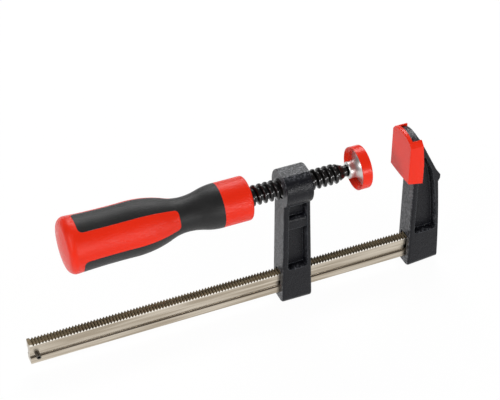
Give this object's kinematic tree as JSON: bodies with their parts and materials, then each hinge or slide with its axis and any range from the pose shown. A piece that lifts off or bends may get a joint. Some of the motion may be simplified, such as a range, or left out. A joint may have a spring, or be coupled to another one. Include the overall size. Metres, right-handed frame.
{
  "type": "quick release bar clamp",
  "caption": "Bar clamp with a serrated flat bar, a capped fixed jaw, a sliding arm, and a threaded spindle with a swivel pad and a two-material grip handle.",
  "frame": {"origin": "the point where the screw's axis meets the clamping face of the fixed jaw's cap", "axes": "+X runs along the bar and the screw from the handle to the fixed jaw, +Y across the bar, +Z from the bar up to the screw"},
  "size_m": [0.2786, 0.0352, 0.1095],
  "materials": {
    "bar_steel": "dull nickel plate on cold drawn steel",
    "arm_casting": "blue-black paint on a cast arm, fine grain",
    "red_plastic": "semi-gloss moulded plastic",
    "spindle_steel": "oiled black oxide",
    "cup_plastic": "black moulded nylon",
    "dish_zinc": "bright die cast zinc",
    "grip_rubber": "matte soft overmould"
  },
  "bodies": {
    "fixed_jaw": {"bar": "bar_steel", "bar_stop_pin": "bar_steel", "fixed_arm": "arm_casting", "fixed_jaw_cap": "red_plastic"},
    "sliding_jaw": {"sliding_arm": "arm_casting"},
    "screw_carriage": {"swivel_collar": "spindle_steel"},
    "screw": {"spindle": "spindle_steel", "handle_core": "red_plastic", "handle_grip": "grip_rubber"},
    "pad_swivel": {"ball_cup": "cup_plastic"},
    "pad": {"pad_dish": "dish_zinc", "pad_cap": "red_plastic"}
  },
  "joints": [
    {"name": "arm_slide", "type": "slide", "parent": "fixed_jaw", "child": "sliding_jaw", "axis": [1, 0, 0], "range_m": [-0.16, 0.001]},
    {"name": "screw_advance", "type": "slide", "parent": "sliding_jaw", "child": "screw_carriage", "axis": [1, 0, 0], "range_m": [-0.0258, 0.0217]},
    {"name": "spindle_turn", "type": "hinge", "parent": "screw_carriage", "child": "screw", "pos_m": [-0.04, 0, 0], "axis": [1, 0, 0], "range_deg": [-2325, 1956]},
    {"name": "pad_spin", "type": "hinge", "parent": "screw_carriage", "child": "pad_swivel", "pos_m": [-0.0332, 0, 0], "axis": [1, 0, 0], "continuous": true},
    {"name": "pad_tilt", "type": "hinge", "parent": "pad_swivel", "child": "pad", "pos_m": [-0.0332, 0, 0], "axis": [0, 1, 0], "range_deg": [-12, 12]}
  ],
  "couplings": [
    {"joint": "spindle_turn", "follows": "screw_advance", "rad_per_m": 1570.8}
  ]
}
